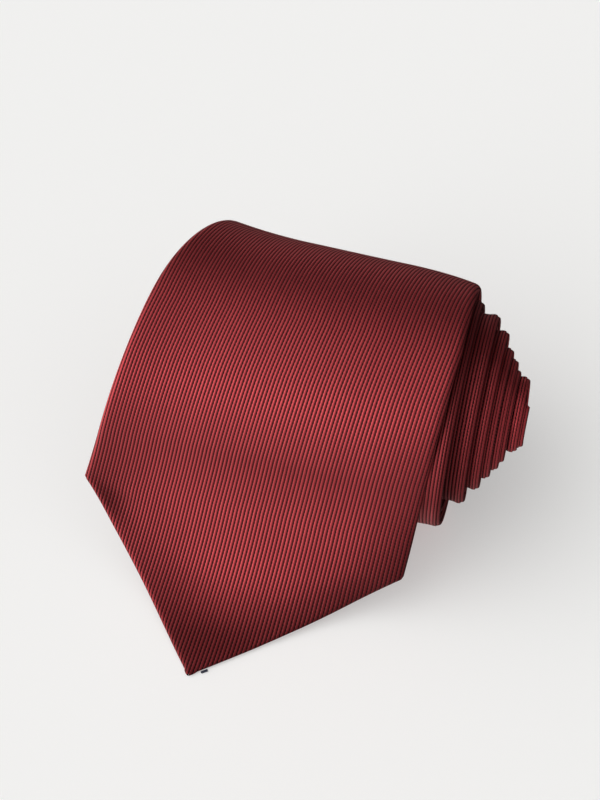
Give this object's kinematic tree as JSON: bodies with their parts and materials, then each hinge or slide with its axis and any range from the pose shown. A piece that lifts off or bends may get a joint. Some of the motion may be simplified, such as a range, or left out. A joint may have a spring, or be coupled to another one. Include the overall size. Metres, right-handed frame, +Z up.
{
  "type": "rolled necktie",
  "caption": "Classic lined necktie rolled up on its side, with its pointed blade lying in front and its turns stepping out at one end.",
  "frame": {"origin": "on the resting face under the roll, below the roll's axis", "axes": "+X along the roll's axis towards the end where the turns step out, +Y to the back, +Z up; the blade's point lies towards -Y"},
  "size_m": [0.107, 0.107, 0.0665],
  "materials": {
    "shell_cloth": "ribbed satin twill, dark red",
    "interlining": "brushed off-white interlining",
    "tipping_cloth": "smooth dark lining",
    "label_cloth": "plain woven label, blank",
    "thread": "twisted thread, dark red",
    "dark_thread": "twisted thread, dark navy"
  },
  "bodies": {
    "roll": {"shell_wrap": "shell_cloth", "shell_coil": "shell_cloth", "shell_neck": "shell_cloth", "interlining_roll": "interlining", "tipping_roll": "tipping_cloth", "keeper_loop": "shell_cloth", "maker_label": "label_cloth", "care_label": "label_cloth", "bar_tack_blade": "thread", "slip_stitch_roll": "thread", "neck_seam_blade": "thread"},
    "blade": {"shell_blade": "shell_cloth", "interlining_blade": "interlining", "tipping_blade": "tipping_cloth"},
    "tip": {"shell_tip": "shell_cloth", "interlining_tip": "interlining", "tipping_point": "tipping_cloth", "point_tack": "dark_thread"},
    "core": {"shell_tail": "shell_cloth", "interlining_tail": "interlining", "tipping_tail": "tipping_cloth", "bar_tack_tail": "thread", "slip_stitch_tail": "thread", "neck_seam_tail": "thread"}
  },
  "joints": [
    {"name": "blade_lift", "type": "hinge", "parent": "roll", "child": "blade", "pos_m": [-0.012, -0.03311, 0.03776], "axis": [-1, 0, 0], "range_deg": [0, 80]},
    {"name": "tip_lift", "type": "hinge", "parent": "blade", "child": "tip", "pos_m": [-0.012, -0.04728, 0.01146], "axis": [-1, 0, 0], "range_deg": [0, 60]},
    {"name": "coil_slide", "type": "slide", "parent": "roll", "child": "core", "axis": [1, 0, 0], "range_m": [-0.006, 0.012]}
  ]
}
